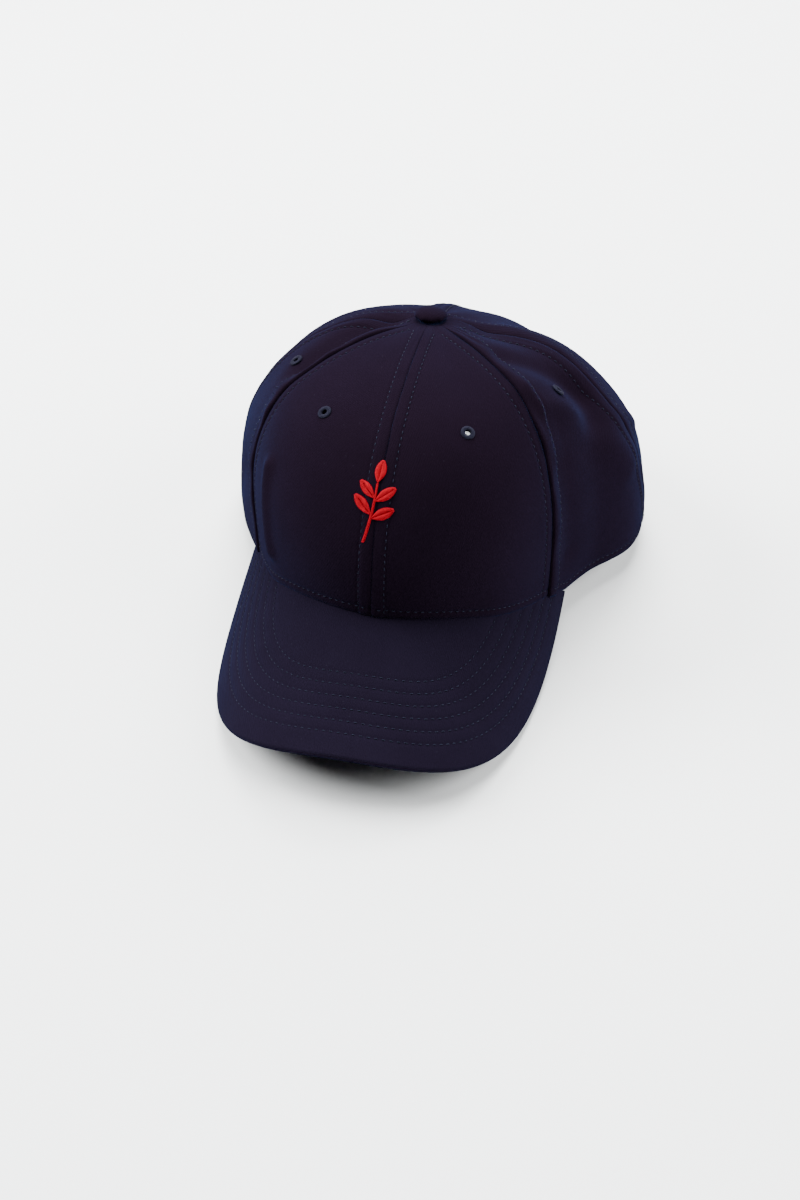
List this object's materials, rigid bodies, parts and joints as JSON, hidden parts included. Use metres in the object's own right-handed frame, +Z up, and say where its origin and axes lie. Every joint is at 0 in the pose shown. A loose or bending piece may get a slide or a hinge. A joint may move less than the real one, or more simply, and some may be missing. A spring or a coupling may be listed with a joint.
{
  "type": "baseball cap",
  "caption": "Cloth cap of sewn panels with a bent, stitched peak, a covered button, worked eyelets and a strap across an arch at the back.",
  "frame": {"origin": "middle of the cap's outline on the surface it rests on", "axes": "+Z up, the peak points to -Y, +X is on the right of someone who faces the peak"},
  "size_m": [0.1948, 0.2864, 0.1233],
  "materials": {
    "crown_cloth": "brushed navy twill",
    "peak_cloth": "brushed navy twill over a stiff board",
    "button_cloth": "brushed navy twill",
    "eyelet_thread": "slate blue embroidery thread",
    "strap_cloth": "navy strap"
  },
  "bodies": {
    "root": {"panel_front_left": "crown_cloth", "panel_front_right": "crown_cloth", "panel_side_left": "crown_cloth", "panel_side_right": "crown_cloth", "panel_back_left": "crown_cloth", "panel_back_right": "crown_cloth", "peak": "peak_cloth", "button": "button_cloth", "eyelet_front_left": "eyelet_thread", "eyelet_front_right": "eyelet_thread", "eyelet_side_left": "eyelet_thread", "eyelet_side_right": "eyelet_thread", "eyelet_back_left": "eyelet_thread", "eyelet_back_right": "eyelet_thread", "back_strap": "strap_cloth"}
  },
  "joints": []
}
